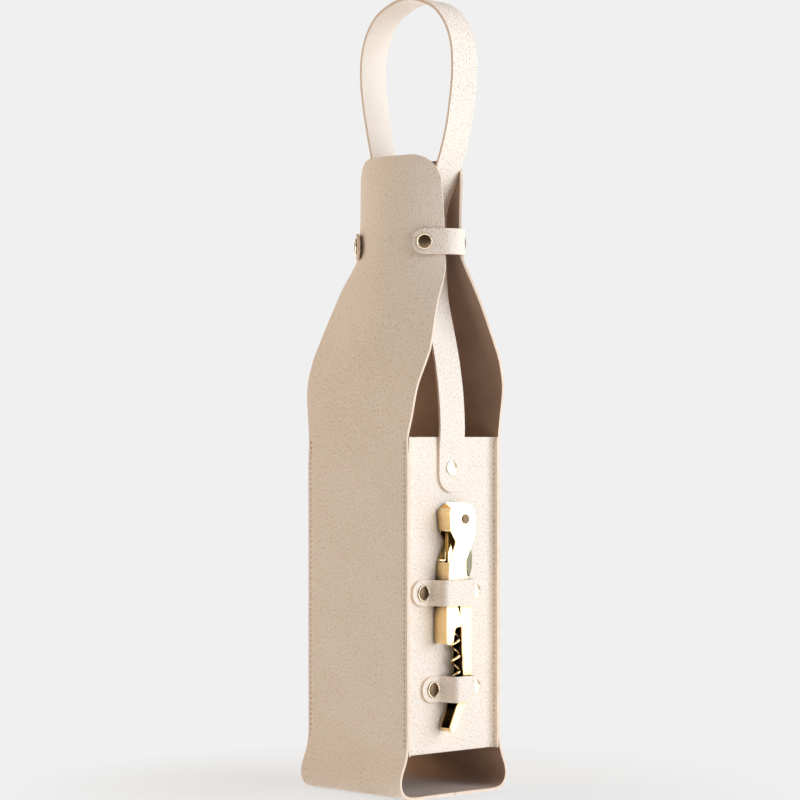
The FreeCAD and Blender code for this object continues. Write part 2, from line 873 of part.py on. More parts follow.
# Corkscrew: channel handle, double lever with a cap opener, worm and foil knife.
# Outlines are (depth, length, radius) shares of the tool's depth, of a piece's own length and of
# the depth again, from the head pin, with +Y the back of the handle.
head_hole = size("head_pin_radius") + pin_gap
worm_hole = size("worm_pin_radius") + pin_gap
boot_hole = size("boot_pin_radius") + pin_gap
over = size("overrun")
tool_base = (tool_x, pin_y, pin_z)

handle_shares = [
    (0.22, 0.044, 0.15),
    (0.06, -0.17, 0.6),
    (0.06, -0.235, 0.6),
    (handle_back_share, -0.36, 0),
    (handle_back_share, -0.739, 0.9),
    (0.06, -0.851, 0.9),
    (-0.28, -0.968, 0.14),
    (-0.43, -1.0, 0.08),
    (-0.52, -0.965, 0.08),
    (handle_front_share, -0.859, 0.4),
    (-0.03, -0.745, 0.4),
    (-0.1, -0.5, 0),
    (-0.25, -0.241, 0),
    (-0.25, 0.044, 0.2),
]
lever_shares = [
    (0.36, 0.19, 0.36),
    (0.36, -0.21, 0.3),
    (-0.01, -0.53, 0.36),
    (-0.02, -0.80, 0.36),
    (-0.28, -1.0, 0.12),
    (lever_front_share, -1.0, 0.04),
    (-0.575, -0.54, 0.05),
    (-0.34, -0.28, 0.06),
    (-0.53, -0.14, 0.03),
    (-0.58, 0.11, 0.06),
    (-0.27, 0.20, 0.25),
]
boot_shares = [
    (0.20, -0.25, 0.03),
    (0.42, -0.76, 0.04),
    (0.13, -0.80, 0.1),
    (0.05, -1.16, 0.1),
    (-0.18, -1.25, 0.1),
    (-0.18, -0.25, 0.03),
]
knife_shares = [
    (0.17, 0.11, 0.16),
    (0.17, -0.27, 0.3),
    (0.46, -0.63, 0.4),
    (0.44, -0.88, 0.4),
    (0.34, -1.04, 0.02),
    (0.14, -0.72, 0.5),
    (-0.02, -0.30, 0.4),
    (-0.17, -0.10, 0.12),
    (-0.17, 0.11, 0.16),
]


def outline(shares, length):
    return [(depth * row[0], length * row[1], depth * row[2]) for row in shares]


def plate(label, base, corners, thickness, holes):
    """A plate across X with rounded corners and pin holes."""
    body = new_body(label, base)
    loop = [corner[:2] for corner in corners]
    feature = pad(body, new_sketch(body, "YZ_Plane", [loop]), thickness, both_ways=True)
    round_corners(body, feature, corners)
    if holes:
        pocket(body, new_sketch(body, "YZ_Plane", circles=holes))
    return body


worm_y = -size("worm_side")
worm_z = -size("worm_hub_drop")
boot_y_share, boot_z_share = -0.5, -0.925
boot_y = depth * boot_y_share
boot_z = size("lever_length") * boot_z_share

handle = plate(
    "corkscrew_handle", tool_base, outline(handle_shares, handle_length), 2 * handle_half,
    [(zero, zero, head_hole), (worm_y, worm_z, worm_hole)])
web = size("handle_web")
open_share = -0.29
back = [(depth * row[0] - web, handle_length * row[1]) for row in handle_shares[3:7]]
channel = [
    (-over, over),
    (over, over),
    (over, handle_length * open_share),
    (back[0][0], handle_length * open_share),
] + back[1:] + [(-over, back[-1][1])]
pocket(handle, new_sketch(handle, "YZ_Plane", [channel]), size("channel_gap"))

lever_length = size("lever_length")
lever = plate(
    "corkscrew_lever", tool_base, outline(lever_shares, lever_length), 2 * lever_half,
    [(zero, zero, head_hole), (boot_y, boot_z, boot_hole)])
lever_web = size("lever_web")
low_web, neck_web, beak_web = (lever_shares[n] for n in (5, 6, 8))
channel = [
    (over, over),
    (over, -lever_length - over),
    (depth * low_web[0] + lever_web, -lever_length - over),
    (depth * low_web[0] + lever_web, -lever_length),
    (depth * neck_web[0] + lever_web, lever_length * neck_web[1]),
    (depth * beak_web[0] + lever_web, lever_length * beak_web[1]),
    (depth * beak_web[0] + lever_web, over),
]
pocket(lever, new_sketch(lever, "YZ_Plane", [channel]), 2 * lever_inner)

boot_length = size("boot_length")
boot = plate(
    "corkscrew_boot", (tool_x, pin_y + boot_y, pin_z + boot_z), outline(boot_shares, boot_length),
    2 * lever_half, [])
boot_left = depth * boot_shares[4][0]
channel = [
    (boot_left + lever_web, over),
    (over, over),
    (over, -boot_length - over),
    (boot_left + lever_web, -boot_length - over),
]
pocket(boot, new_sketch(boot, "YZ_Plane", [channel]), 2 * lever_inner)
lug_half = size("boot_pin_radius") * 2
lug_shares = [(-1, 0), (-0.62, 0.78), (0, 1), (0.62, 0.78), (1, 0)]
lug_foot_shares = (0.5, 0.28, 0.2, 0.3)
lug_waist_share = 0.45
lug = [
    (boot_left, -boot_length * lug_foot_shares[0]),
    (boot_left, -boot_length * lug_foot_shares[1]),
    (-lug_half * lug_waist_share, -boot_length * lug_foot_shares[2]),
] + [(lug_half * row[0], lug_half * row[1]) for row in lug_shares] + [
    (lug_half, -boot_length * lug_foot_shares[3]),
    (-lug_half, -boot_length * lug_foot_shares[0]),
]
pad(boot, new_sketch(boot, "YZ_Plane", [lug]), 2 * handle_half, both_ways=True)
pocket(boot, new_sketch(boot, "YZ_Plane", circles=[(zero, zero, boot_hole)]))

plate(
    "foil_knife", tool_base, outline(knife_shares, size("knife_length")), size("knife_plate"),
    [(zero, zero, head_hole)])


def pin(label, base, radius, half_length, head=None):
    """A pin along X, with a flat head at each end if it has one."""
    body = new_body(label, base)
    feature = pad(body, new_sketch(body, "YZ_Plane", circles=[(zero, zero, radius)]),
                  2 * half_length, both_ways=True)
    if head is not None:
        rise = half_length
        for way in (1, -1):
            disc = new_sketch(body, "YZ_Plane", circles=[(zero, zero, head)], rise=rise * way)
            feature = pad(body, disc, size("pin_cap_plate"))
            feature.Reversed = way < 0
            doc.recompute()
    return body


pin("head_pin", tool_base, size("head_pin_radius"), lever_half + pin_gap, size("head_pin_cap"))
pin("worm_pin", (tool_x, pin_y + worm_y, pin_z + worm_z), size("worm_pin_radius"), handle_half)
pin("boot_pin", (tool_x, pin_y + boot_y, pin_z + boot_z), size("boot_pin_radius"), lever_half)

# Worm: a hub on its pin, a straight shank and an open helix, one unbroken wire.
hub_radius = value("worm_hub_radius")
hub_half = value("channel_gap") / 2 - value("plate_gap")
coil = value("worm_coil")
wire_radius = value("worm_wire")
pitch = value("worm_pitch")
hub_spot = vec(tool_x.value, (pin_y + worm_y).value, (pin_z + worm_z).value)
hub = Part.makeCylinder(hub_radius, 2 * hub_half, hub_spot - axis_x * hub_half, axis_x)
shank_end = hub_spot - vec(0, 0, value("worm_shank"))
lead = Part.makeCylinder(wire_radius, value("worm_shank"), shank_end, vec(0, 0, 1))
helix = Part.makeHelix(pitch, pitch * worm_turns, coil)
section = Part.Wire(Part.makeCircle(wire_radius, vec(coil, 0, 0), vec(0, 1, 0)))
coil_solid = Part.Wire(helix).makePipeShell([section], True, True)
coil_solid.Placement = FreeCAD.Placement(
    shank_end - vec(0, 0, pitch * worm_turns), FreeCAD.Rotation())
neck_ball = Part.makeSphere(wire_radius, shank_end)
joint_bar = Part.makeCylinder(wire_radius, coil, shank_end, axis_x)
knuckle = Part.makeSphere(wire_radius, shank_end + axis_x * coil)
worm = hub.fuse([lead, neck_ball, joint_bar, knuckle, coil_solid]).removeSplitter()
bore = value("worm_pin_radius") + value("pin_gap")
worm = drill(worm, hub_spot, axis_x, bore)
shaped("corkscrew_worm", worm)

nodes = [
    "body_panel", "right_gusset", "left_gusset", "front_flap", "back_flap", "carry_strap",
    "right_carry_rivet", "left_carry_rivet",
    "right_closure_tail", "left_closure_tail", "right_closure_strap", "left_closure_strap",
    "right_closure_rivet", "left_closure_rivet", "right_closure_stud", "left_closure_stud",
    "right_closure_cap", "left_closure_cap",
    "upper_tool_tail", "lower_tool_tail", "upper_tool_strap", "lower_tool_strap",
    "upper_tool_rivet", "lower_tool_rivet", "upper_tool_stud", "lower_tool_stud",
    "upper_tool_cap", "lower_tool_cap",
    "corkscrew_handle", "corkscrew_lever", "corkscrew_boot", "corkscrew_worm", "foil_knife",
    "head_pin", "worm_pin", "boot_pin",
]
doc.recompute()
for thing in doc.Objects:
    if "Invalid" in thing.State or "Error" in thing.State:
        raise RuntimeError("%s failed: %s" % (thing.Label, thing.State))
os.makedirs("parts", exist_ok=True)
finished = {}
for node in nodes:
    piece = doc.getObjectsByLabel(node)[0]
    if piece.Shape.isNull() or not piece.Shape.isValid() or piece.Shape.Volume <= 0:
        raise RuntimeError("%s has no good shape" % node)
    finished[node] = piece.Shape
for node, shape in finished.items():
    shape.exportStep("parts/%s.step" % node)
    print(node, len(shape.Solids), round(shape.Volume, 1), shape.BoundBox)
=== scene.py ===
import bmesh
import bpy
import json
import math
from mathutils import Matrix, Vector
from mathutils.geometry import area_tri


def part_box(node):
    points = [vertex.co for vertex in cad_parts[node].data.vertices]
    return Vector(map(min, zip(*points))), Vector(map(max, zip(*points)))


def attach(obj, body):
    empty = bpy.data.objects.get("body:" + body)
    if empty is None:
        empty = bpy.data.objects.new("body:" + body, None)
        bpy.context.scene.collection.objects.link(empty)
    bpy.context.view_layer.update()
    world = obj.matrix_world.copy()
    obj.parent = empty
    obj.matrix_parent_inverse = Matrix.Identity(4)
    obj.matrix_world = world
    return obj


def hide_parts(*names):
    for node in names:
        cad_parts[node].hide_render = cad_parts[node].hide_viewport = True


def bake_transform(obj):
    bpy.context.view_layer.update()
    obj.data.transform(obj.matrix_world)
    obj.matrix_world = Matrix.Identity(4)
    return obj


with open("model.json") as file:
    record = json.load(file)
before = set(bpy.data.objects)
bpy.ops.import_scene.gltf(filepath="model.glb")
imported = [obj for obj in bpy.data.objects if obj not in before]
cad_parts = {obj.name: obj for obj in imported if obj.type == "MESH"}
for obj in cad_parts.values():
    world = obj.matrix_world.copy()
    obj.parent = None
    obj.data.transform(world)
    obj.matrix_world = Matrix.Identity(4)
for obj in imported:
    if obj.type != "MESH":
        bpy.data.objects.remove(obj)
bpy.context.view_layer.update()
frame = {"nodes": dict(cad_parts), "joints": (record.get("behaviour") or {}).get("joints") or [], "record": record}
nodes = frame["nodes"]
joints = {joint["name"]: joint for joint in frame["joints"]}
mm = 0.001
upward = Vector((0, 0, 1))

# Leather carrier for one bottle: grain side out, suede inside, raw edges left natural.
leather = {"thick": 1.6 * mm, "edgeRound": 0.32 * mm, "step": 2.6 * mm, "seamReach": 1.2}
inside = Vector((0, 0, 120 * mm))


class Wire:  # a node's output; sums on it add Math nodes
    def __init__(self, finish, socket):
        self.finish = finish
        self.socket = socket

    def __add__(self, other):
        return self.finish.sums("ADD", self, other)

    def __mul__(self, other):
        return self.finish.sums("MULTIPLY", self, other)

    def __pow__(self, other):
        return self.finish.sums("POWER", self, other)

    def __radd__(self, other):
        return self.finish.sums("ADD", other, self)

    def __rsub__(self, other):
        return self.finish.sums("SUBTRACT", other, self)


class Finish:  # a material or a world, and the nodes that make it
    def __init__(self, owner):
        self.owner = owner
        owner.use_nodes = True
        self.tree = owner.node_tree
        self.tree.nodes.clear()

    def node(self, kind, settings, sockets, out=0):
        made = self.tree.nodes.new(kind)
        for key, value in settings.items():
            if key == "stops":
                ramp = made.color_ramp.elements
                while len(ramp) < len(value):
                    ramp.new(1)
                for stop, (place, colour) in zip(ramp, value):
                    stop.position = place
                    stop.color = colour
            else:
                setattr(made, key, value)
        for key, value in sockets.items():
            if isinstance(value, Wire):
                self.tree.links.new(value.socket, made.inputs[key])
            else:
                made.inputs[key].default_value = value
        return Wire(self, made.outputs[out]) if len(made.outputs) else None

    def sums(self, operation, first, second):
        return self.node("ShaderNodeMath", {"operation": operation}, {0: first, 1: second})

    def blend(self, share, first, second):
        return self.node("ShaderNodeMix", {"data_type": "RGBA"}, {0: share, 6: first, 7: second}, 2)

    def ramp(self, share, low, high):
        grey = [(low, (0, 0, 0, 1)), (high, (1, 1, 1, 1))]
        return self.node("ShaderNodeValToRGB", {"stops": grey}, {0: share})

    def noise(self, where, scale, detail=3.0, rough=0.5):
        sockets = {"Vector": where, "Scale": scale, "Detail": detail, "Roughness": rough}
        return self.node("ShaderNodeTexNoise", {}, sockets)

    def place(self, output="Object"):
        return self.node("ShaderNodeTexCoord", {}, {}, output)

    def bump(self, height, strength, distance):
        sockets = {"Height": height, "Strength": strength, "Distance": distance}
        return self.node("ShaderNodeBump", {}, sockets)

    def show(self, sockets):
        shader = self.node("ShaderNodeBsdfPrincipled", {}, sockets)
        self.node("ShaderNodeOutputMaterial", {}, {"Surface": shader})
        return self.owner


def newFinish(name):
    return Finish(bpy.data.materials.new(name))


def tone(red, green, blue):  # a colour as a screen shows it, 0 to 255, made linear
    linear = []
    for part in (red, green, blue):
        share = part / 255
        linear.append(share / 12.92 if share <= 0.04045 else ((share + 0.055) / 1.055) ** 2.4)
    return (*linear, 1.0)


look = {
    # fold is a painted shade colour that darkens the valleys between pebbles
    "cream": tone(244, 231, 217), "worn": tone(240, 225, 209), "fold": tone(214, 188, 162),
    "pebble": 820.0, "patch": 26.0,
    "suede": tone(166, 134, 112), "paleSuede": tone(186, 154, 130), "nap": tone(140, 110, 90),
    "cut": tone(236, 212, 188), "paleCut": tone(244, 225, 206), "fibre": tone(206, 174, 144),
    "thread": tone(190, 162, 134), "paleThread": tone(216, 192, 166),
    # painted shade colour and reach for the hollows and channel insides of the metal parts
    "hollow": tone(20, 13, 7), "hollowReach": 8 * mm,
    "steel": tone(78, 74, 58), "paleSteel": tone(112, 107, 90),
}


def grainLeather(name, relief, valleyShadeShare):  # pebbled cream hide, in the sheet's own flat measure, with painted shade in the valleys between pebbles
    finish = newFinish(name)
    flat = finish.place("UV")
    drift = finish.node("ShaderNodeTexNoise", {}, {"Vector": flat, "Scale": 420.0, "Detail": 2.0}, "Color")
    shifted = finish.node("ShaderNodeVectorMath", {"operation": "MULTIPLY_ADD"},
                          {0: drift, 1: (0.0006, 0.0005, 0), 2: flat})
    cells = finish.node("ShaderNodeTexVoronoi",
                        {"voronoi_dimensions": "2D", "feature": "SMOOTH_F1"},
                        {"Vector": shifted, "Scale": look["pebble"], "Smoothness": 0.3})
    pebble = 1 - cells ** 1.8
    patches = finish.ramp(finish.noise(flat, look["patch"], 3.0), 0.35, 0.7)
    swell = finish.noise(flat, 60.0, 2.0)
    pores = finish.noise(flat, 3200.0, 2.0)
    height = pebble * (0.5 + patches * 0.5) + swell * 0.5 + pores * 0.06
    # painted shade: the valleys between pebbles are darkened toward the fold colour
    valleyShade = finish.ramp(cells, 0.3, 0.85)
    hide = finish.blend(patches * 0.3, look["cream"], look["worn"])
    colour = finish.blend(valleyShade * valleyShadeShare, hide, look["fold"])
    return finish.show({
        "Base Color": colour,
        "Roughness": 0.58 - pebble * 0.12 + patches * 0.05,
        "Normal": finish.bump(height, relief, 0.0009),
        "Specular IOR Level": 0.24,
    })


def suedeLeather():  # flesh side: tan, napped
    finish = newFinish("suedeLeather")
    flat = finish.place("UV")
    nap = finish.noise(flat, 900.0, 5.0, 0.7)
    cloud = finish.noise(flat, 40.0, 4.0)
    colour = finish.blend(finish.ramp(cloud, 0.3, 0.75), look["suede"], look["paleSuede"])
    colour = finish.blend(finish.ramp(nap, 0.35, 0.7) * 0.3, colour, look["nap"])
    return finish.show({
        "Base Color": colour,
        "Roughness": 0.9 + nap * 0.08,
        "Normal": finish.bump(nap, 0.4, 0.0003),
        "Sheen Weight": 0.25,
        "Specular IOR Level": 0.2,
    })


def rawEdge():  # cut edge: paler fibres along the thickness
    finish = newFinish("rawEdge")
    place = finish.place()
    fibre = finish.noise(place, 1500.0, 4.0, 0.65)
    streak = finish.noise(place, 160.0, 3.0)
    colour = finish.blend(finish.ramp(streak, 0.3, 0.7), look["cut"], look["paleCut"])
    colour = finish.blend(finish.ramp(fibre, 0.4, 0.75) * 0.3, colour, look["fibre"])
    return finish.show({
        "Base Color": colour,
        "Roughness": 0.78 + fibre * 0.1,
        "Normal": finish.bump(fibre, 0.35, 0.0003),
    })


def waxedThread():
    finish = newFinish("waxedThread")
    twist = finish.node("ShaderNodeTexWave", {"bands_direction": "DIAGONAL"},
                        {"Vector": finish.place(), "Scale": 420.0, "Distortion": 1.0})
    colour = finish.blend(twist, look["thread"], look["paleThread"])
    return finish.show({
        "Base Color": colour,
        "Roughness": 0.6 + twist * 0.1,
        "Normal": finish.bump(twist, 0.5, 0.0002),
    })


def polishedGold(name, bright, deep, shine):  # plated brass with fine wipe marks, and painted shade that darkens hollows to near black
    finish = newFinish(name)
    place = finish.place()
    wipe = finish.noise(place, 1800.0, 4.0, 0.7)
    cloud = finish.noise(place, 120.0, 3.0)
    colour = finish.blend(finish.ramp(cloud, 0.3, 0.75) * 0.5, bright, deep)
    # painted shade: where the surface is hemmed in, as inside the channels, its colour turns near black
    hollow = finish.node("ShaderNodeAmbientOcclusion", {"samples": 6},
                         {"Distance": look["hollowReach"]}, "AO")
    colour = finish.blend(finish.ramp(hollow, 0.45, 0.84), look["hollow"], colour)
    return finish.show({
        "Base Color": colour,
        "Metallic": 1.0,
        "Roughness": shine + wipe * 0.05 + cloud * 0.03,
        "Normal": finish.bump(wipe, 0.06, 0.0001),
    })


def satinSteel():
    finish = newFinish("satinSteel")
    place = finish.place()
    stretched = finish.node("ShaderNodeMapping", {}, {"Vector": place, "Scale": (1, 6, 0.5)})
    brush = finish.noise(stretched, 900.0, 4.0, 0.6)
    colour = finish.blend(brush, look["steel"], look["paleSteel"])
    return finish.show({
        "Base Color": colour,
        "Metallic": 1.0,
        "Roughness": 0.24 + brush * 0.12,
        "Normal": finish.bump(brush, 0.08, 0.0001),
    })


finishes = {
    "grain": grainLeather("grainLeather", 0.5, 0.45),
    "lining": grainLeather("smoothLining", 0.12, 0.12),
    "suede": suedeLeather(),
    "edge": rawEdge(),
    "thread": waxedThread(),
    "tool": polishedGold("toolGold", tone(244, 216, 166), tone(232, 196, 136), 0.07),
    "snap": polishedGold("snapGold", tone(228, 208, 178), tone(206, 182, 146), 0.12),
    # dark bronze whose darkness is partly a painted reflection of dark surroundings; used for the cap discs and
    # the head pin
    "bronze": polishedGold("capBronze", tone(92, 76, 58), tone(70, 56, 42), 0.24),
    "steel": satinSteel(),
}
print("finishes", len(finishes))


def smoothLine(rows, shares):  # a smooth curve through rows of numbers, read at lengths along it
    lengths = [0.0]
    for one, two in zip(rows, rows[1:]):
        lengths.append(lengths[-1] + math.dist(one[:2], two[:2]))
    slopes = []
    for n in range(len(rows)):
        low, high = max(n - 1, 0), min(n + 1, len(rows) - 1)
        span = lengths[high] - lengths[low]
        slopes.append([(b - a) / span for a, b in zip(rows[low], rows[high])])
    read = []
    for share in shares:
        at = share * lengths[-1]
        n = max(k for k in range(len(rows) - 1) if lengths[k] <= at or k == 0)
        span = lengths[n + 1] - lengths[n]
        t = (at - lengths[n]) / span
        weights = (2 * t ** 3 - 3 * t ** 2 + 1, t ** 3 - 2 * t ** 2 + t,
                   3 * t ** 2 - 2 * t ** 3, t ** 3 - t ** 2)
        read.append([
            weights[0] * a + weights[1] * span * sa + weights[2] * b + weights[3] * span * sb
            for a, b, sa, sb in zip(rows[n], rows[n + 1], slopes[n], slopes[n + 1])])
    return read, lengths[-1]


def cornerLine(corners, step):  # straight runs joined by arcs; corners are (x, y, radius)
    line = [Vector(corners[0][:2])]
    for before, corner, after in zip(corners, corners[1:], corners[2:]):
        here = Vector(corner[:2])
        into = (Vector(before[:2]) - here).normalized()
        away = (Vector(after[:2]) - here).normalized()
        half = into.angle(away) / 2
        reach = corner[2] / math.tan(half)
        middle = here + (into + away).normalized() * (corner[2] / math.sin(half))
        first = here + into * reach - middle
        turn = first.angle_signed(here + away * reach - middle)
        bends = max(4, round(abs(turn) * corner[2] / (step / 3)))
        for n in range(bends + 1):
            line.append(middle + Matrix.Rotation(-turn * n / bends, 2) @ first)
    line.append(Vector(corners[-1][:2]))
    filled = [line[0]]
    for one, two in zip(line, line[1:]):
        count = max(1, round((two - one).length / step))
        filled += [one.lerp(two, n / count) for n in range(1, count + 1)]
    return filled


def finishMesh(name, bm, materials):
    mesh = bpy.data.meshes.new(name)
    bm.to_mesh(mesh)
    bm.free()
    for material in materials:
        mesh.materials.append(material)
    mesh.shade_smooth()
    piece = bpy.data.objects.new(name, mesh)
    bpy.context.scene.collection.objects.link(piece)
    return piece


def leatherSheet(name, grid, behind, seam=None, lined=True):
    # grid is rows of points on the grain side, which faces away from behind;
    # the raw edge is rounded except along the seam row
    rows, columns = len(grid), len(grid[0])
    bm = bmesh.new()
    bmesh.ops.create_grid(bm, x_segments=columns - 1, y_segments=rows - 1, size=1)
    bm.verts.ensure_lookup_table()
    flat = bm.loops.layers.uv.new("flat")
    middle = columns // 2
    along = [0.0]
    for one, two in zip(grid, grid[1:]):
        along.append(along[-1] + (two[middle] - one[middle]).length)
    measure = {}
    for j, row in enumerate(grid):
        across = 0.0
        for i, point in enumerate(row):
            across += (point - row[i - 1]).length if i else 0.0
            vert = bm.verts[j * columns + i]
            vert.co = point
            measure[vert] = [across, along[j]]
        centre = measure[bm.verts[j * columns + middle]][0]
        for i in range(columns):
            measure[bm.verts[j * columns + i]][0] -= centre
    for face in bm.faces:
        for loop in face.loops:
            loop[flat].uv = measure[loop.vert]
    bm.normal_update()
    bm.faces.ensure_lookup_table()
    probe = bm.faces[(columns - 1) * (rows // 2) + (columns - 1) // 2]
    if probe.normal.dot(probe.calc_center_median() - behind) < 0:
        bmesh.ops.reverse_faces(bm, faces=bm.faces[:])
    seamVerts = set() if seam is None else {bm.verts[seam * columns + i] for i in range(columns)}
    seamPlaces = [vert.co.copy() for vert in seamVerts]
    grain = set(bm.faces)
    made = bmesh.ops.solidify(bm, geom=bm.faces[:], thickness=leather["thick"])
    flesh = {part for part in made["geom"] if isinstance(part, bmesh.types.BMFace)}
    for face in bm.faces:
        face.material_index = 0 if face in grain else 1 if face in flesh else 2
    reach = leather["thick"] * leather["seamReach"]
    rims = []
    for edge in bm.edges:
        kinds = {face.material_index for face in edge.link_faces}
        if len(kinds) < 2:
            continue
        if seamPlaces and all(min((v.co - s).length for s in seamPlaces) < reach for v in edge.verts):
            edge.smooth = False
            continue
        rims.append(edge)
    bmesh.ops.bevel(bm, geom=rims, offset=leather["edgeRound"], offset_type="OFFSET", segments=2,
                    profile=0.5, affect="EDGES", material=-1, clamp_overlap=True)
    materials = [finishes["grain"], finishes["suede" if lined else "lining"], finishes["edge"]]
    piece = finishMesh(name, bm, materials)
    return piece


def evenShares(count):
    return [n / count for n in range(count + 1)]


# Strip: front wall, base and back wall are one piece; above the shoulder it is drawn in to the neck.
strip = {
    "halfWidth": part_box("body_panel")[1].x,
    "halfDepth": 38 * mm,
    "shoulder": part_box("body_panel")[1].z,
    "topCorner": 16 * mm,
    "seamInset": 2.3 * mm,
    "seamDip": 0.4 * mm,
    "seamWidth": 1.1 * mm,
    "backSwell": 1.5 * mm,
    "swellMiddle": 248 * mm,
    "swellSpan": 26 * mm,
    "seamFoot": 27 * mm,
    "seamFade": 4 * mm,
    "columns": 26,
    "foldBelow": 14 * mm,
    "foldSpan": 34 * mm,
    # depth, height, half width, bulge and lean, in millimetres, from the middle of the base
    "rows": [
        (0, 0, 43, 0, 0), (18, 0, 43, 0, 0), (32.5, 0.0, 43, 0, 0), (38.9, 1.5, 43, 0, 0),
        (42.4, 5.2, 43, 0, 0), (43.4, 9.8, 43, 0, 0), (42.5, 15, 43, 0, 0), (40.4, 20, 43, 0, 0),
        (38.6, 25.5, 43, 0, 0), (38, 33, 43, 0, 0), (38, 70, 43, 0.25, 0), (38, 120, 43, 0.3, 0),
        (38, 170, 43, 0.25, 0), (38, 196, 43, 0.15, 0), (37.6, 208.3, 42.6, 0.4, 0),
        (36.6, 218.1, 44.5, 0.8, 0), (34.8, 237.1, 47.5, 1.5, 0.25), (30.2, 251, 49.2, 3.5, 0.75),
        (27, 259.1, 49.2, 5, 1.25), (18.4, 285.2, 44.6, 10.2, 3), (13, 297, 43.2, 12.8, 3.2),
        (8.5, 307.5, 40.4, 14.6, 4), (7.1, 315, 37.3, 15, 4.7), (7, 325, 36.8, 15, 5),
        (7.2, 335, 36.2, 14.6, 5.5), (9.8, 372.3, 33.9, 10.2, 6.5),
    ],
}


def seamColumns(inner, half):  # places across a wall, closer together beside the two seams
    seam = 1 - strip["seamInset"] / half
    fine = strip["seamWidth"] / half
    edge = [1.0, seam + 1.6 * fine, seam + 0.8 * fine, seam, seam - 0.8 * fine, seam - 1.6 * fine]
    low = edge[-1]
    core = [low * (2 * n / inner - 1) for n in range(1, inner)]
    return [-place for place in edge] + core + edge[::-1]


def stripHalf(name, side):
    columns = seamColumns(strip["columns"], strip["halfWidth"])
    read, length = smoothLine(strip["rows"], [0.0])
    count = round(length * mm / leather["step"])
    corner = strip["topCorner"]
    start = 1 - corner / (length * mm)
    shares = [start * n / count for n in range(count + 1)]
    shares += [start + (1 - start) * math.sin(math.radians(turn)) for turn in range(10, 91, 10)]
    read, length = smoothLine(strip["rows"], shares)
    grid = []
    for share, (depth, height, half, bulge, lean) in zip(shares, read):
        past = max(0.0, (share - start) / (1 - start))
        whole = half * mm
        half = whole - corner * (1 - math.sqrt(max(0.0, 1 - past * past)))
        low, high = strip["seamFoot"], strip["shoulder"]
        seamed = min(height * mm - low, high - height * mm) / strip["seamFade"]
        dip = strip["seamDip"] * min(1.0, max(0.0, seamed))
        away = (height * mm - strip["swellMiddle"]) / strip["swellSpan"]
        swell = strip["backSwell"] * math.exp(-away * away) if side > 0 else 0.0
        row = []
        for place in columns:
            inset = abs(1 - abs(place)) * half - strip["seamInset"]
            pressed = math.exp(-(inset / strip["seamWidth"]) ** 2) if inset > 0 else 1.0
            crown = bulge * (1 - (place * half / whole) ** 2)
            out = (depth + crown) * mm - dip * pressed + swell
            row.append(Vector((lean * mm + place * half, side * out, height * mm)))
        grid.append(row)
    return leatherSheet(name, grid, inside, seam=0)


for body, side, flap in (("front", -1, "front_flap"), ("back", 1, "back_flap")):
    half = stripHalf(body + "Strip", side)
    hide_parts("body_panel", flap)
    low = Vector((0, side * strip["halfDepth"], strip["shoulder"] - strip["foldBelow"]))
    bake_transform(half)

# Side walls: recessed, with flanges turned outward inside the strip's edges.
gusset = {
    "face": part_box("right_carry_rivet")[1].x - 3 * mm,
    "rim": strip["halfWidth"],
    "flange": strip["halfDepth"] - 2 * leather["thick"],
    "bend": 3 * mm,
    "low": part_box("right_gusset")[0].z,
    "high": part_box("right_gusset")[1].z,
}
for name, way in (("right", 1), ("left", -1)):
    corners = [
        (gusset["rim"], -gusset["flange"]), (gusset["face"], -gusset["flange"], gusset["bend"]),
        (gusset["face"], gusset["flange"], gusset["bend"]), (gusset["rim"], gusset["flange"])]
    line = cornerLine(corners, leather["step"])
    count = round((gusset["high"] - gusset["low"]) / leather["step"])
    grid = []
    for share in evenShares(count):
        height = gusset["low"] + (gusset["high"] - gusset["low"]) * share
        grid.append([Vector((way * spot.x, spot.y, height)) for spot in line])
    wall = leatherSheet(name + "SideWall", grid, inside)
    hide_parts(name + "_gusset")
    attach(wall, "carrier")
print("side walls", len(line))


def strapGrid(line, across, width):
    # points on the grain side along a strap, whose ends are half circles
    half = width / 2
    lengths = [0.0]
    for one, two in zip(line, line[1:]):
        lengths.append(lengths[-1] + (two - one).length)
    total = lengths[-1]

    def spot(at):
        n = max(k for k in range(len(line) - 1) if lengths[k] <= at or k == 0)
        return line[n].lerp(line[n + 1], (at - lengths[n]) / (lengths[n + 1] - lengths[n]))

    tips = [half * (1 - math.cos(math.radians(turn))) for turn in range(6, 90, 7)]
    low, high = half, total - half
    places = [at for at in tips if at < low]
    places += [low] + [at for at in lengths if low < at < high] + [high]
    places += [total - at for at in reversed(tips) if total - at > high]
    columns = [math.sin(math.radians(turn)) for turn in range(-90, 91, 15)]
    grid = []
    for at in places:
        past = max(low - at, at - high, 0.0)
        reach = math.sqrt(max(0.0, half * half - past * past))
        grid.append([spot(at) + across * (place * reach) for place in columns])
    return grid


# Carry strap: riveted low on both side walls, pinched beside the neck, looped above it.
carry = {
    "width": 19.5 * mm, "steps": 260, "inLoop": Vector((9, 0, 400)) * mm,
    # half spread, height and lean of the grain side, in millimetres, from the foot to the crown
    "rows": [
        (40.6, 176, 0), (40.7, 198, 0), (41.2, 213, 0.4), (39.4, 232, 1), (35.2, 252, 2),
        (29.5, 270, 3.2), (24, 287, 4.2), (21.7, 302, 4.8), (21.2, 321, 5), (21.5, 338, 5.2),
        (23, 347, 6.6), (25.4, 356, 9), (28.1, 366, 11), (31.5, 377, 12.1), (35.1, 390, 12.4),
        (38.3, 406, 12.2), (40, 421, 11.9), (38.9, 436, 11.7), (33.2, 449.5, 11.3), (22, 460, 10.9),
        (0, 465.8, 10.6),
    ],
}
otherSide = [(-spread, height, lean) for spread, height, lean in carry["rows"][-2::-1]]
read, length = smoothLine(carry["rows"] + otherSide, evenShares(carry["steps"]))
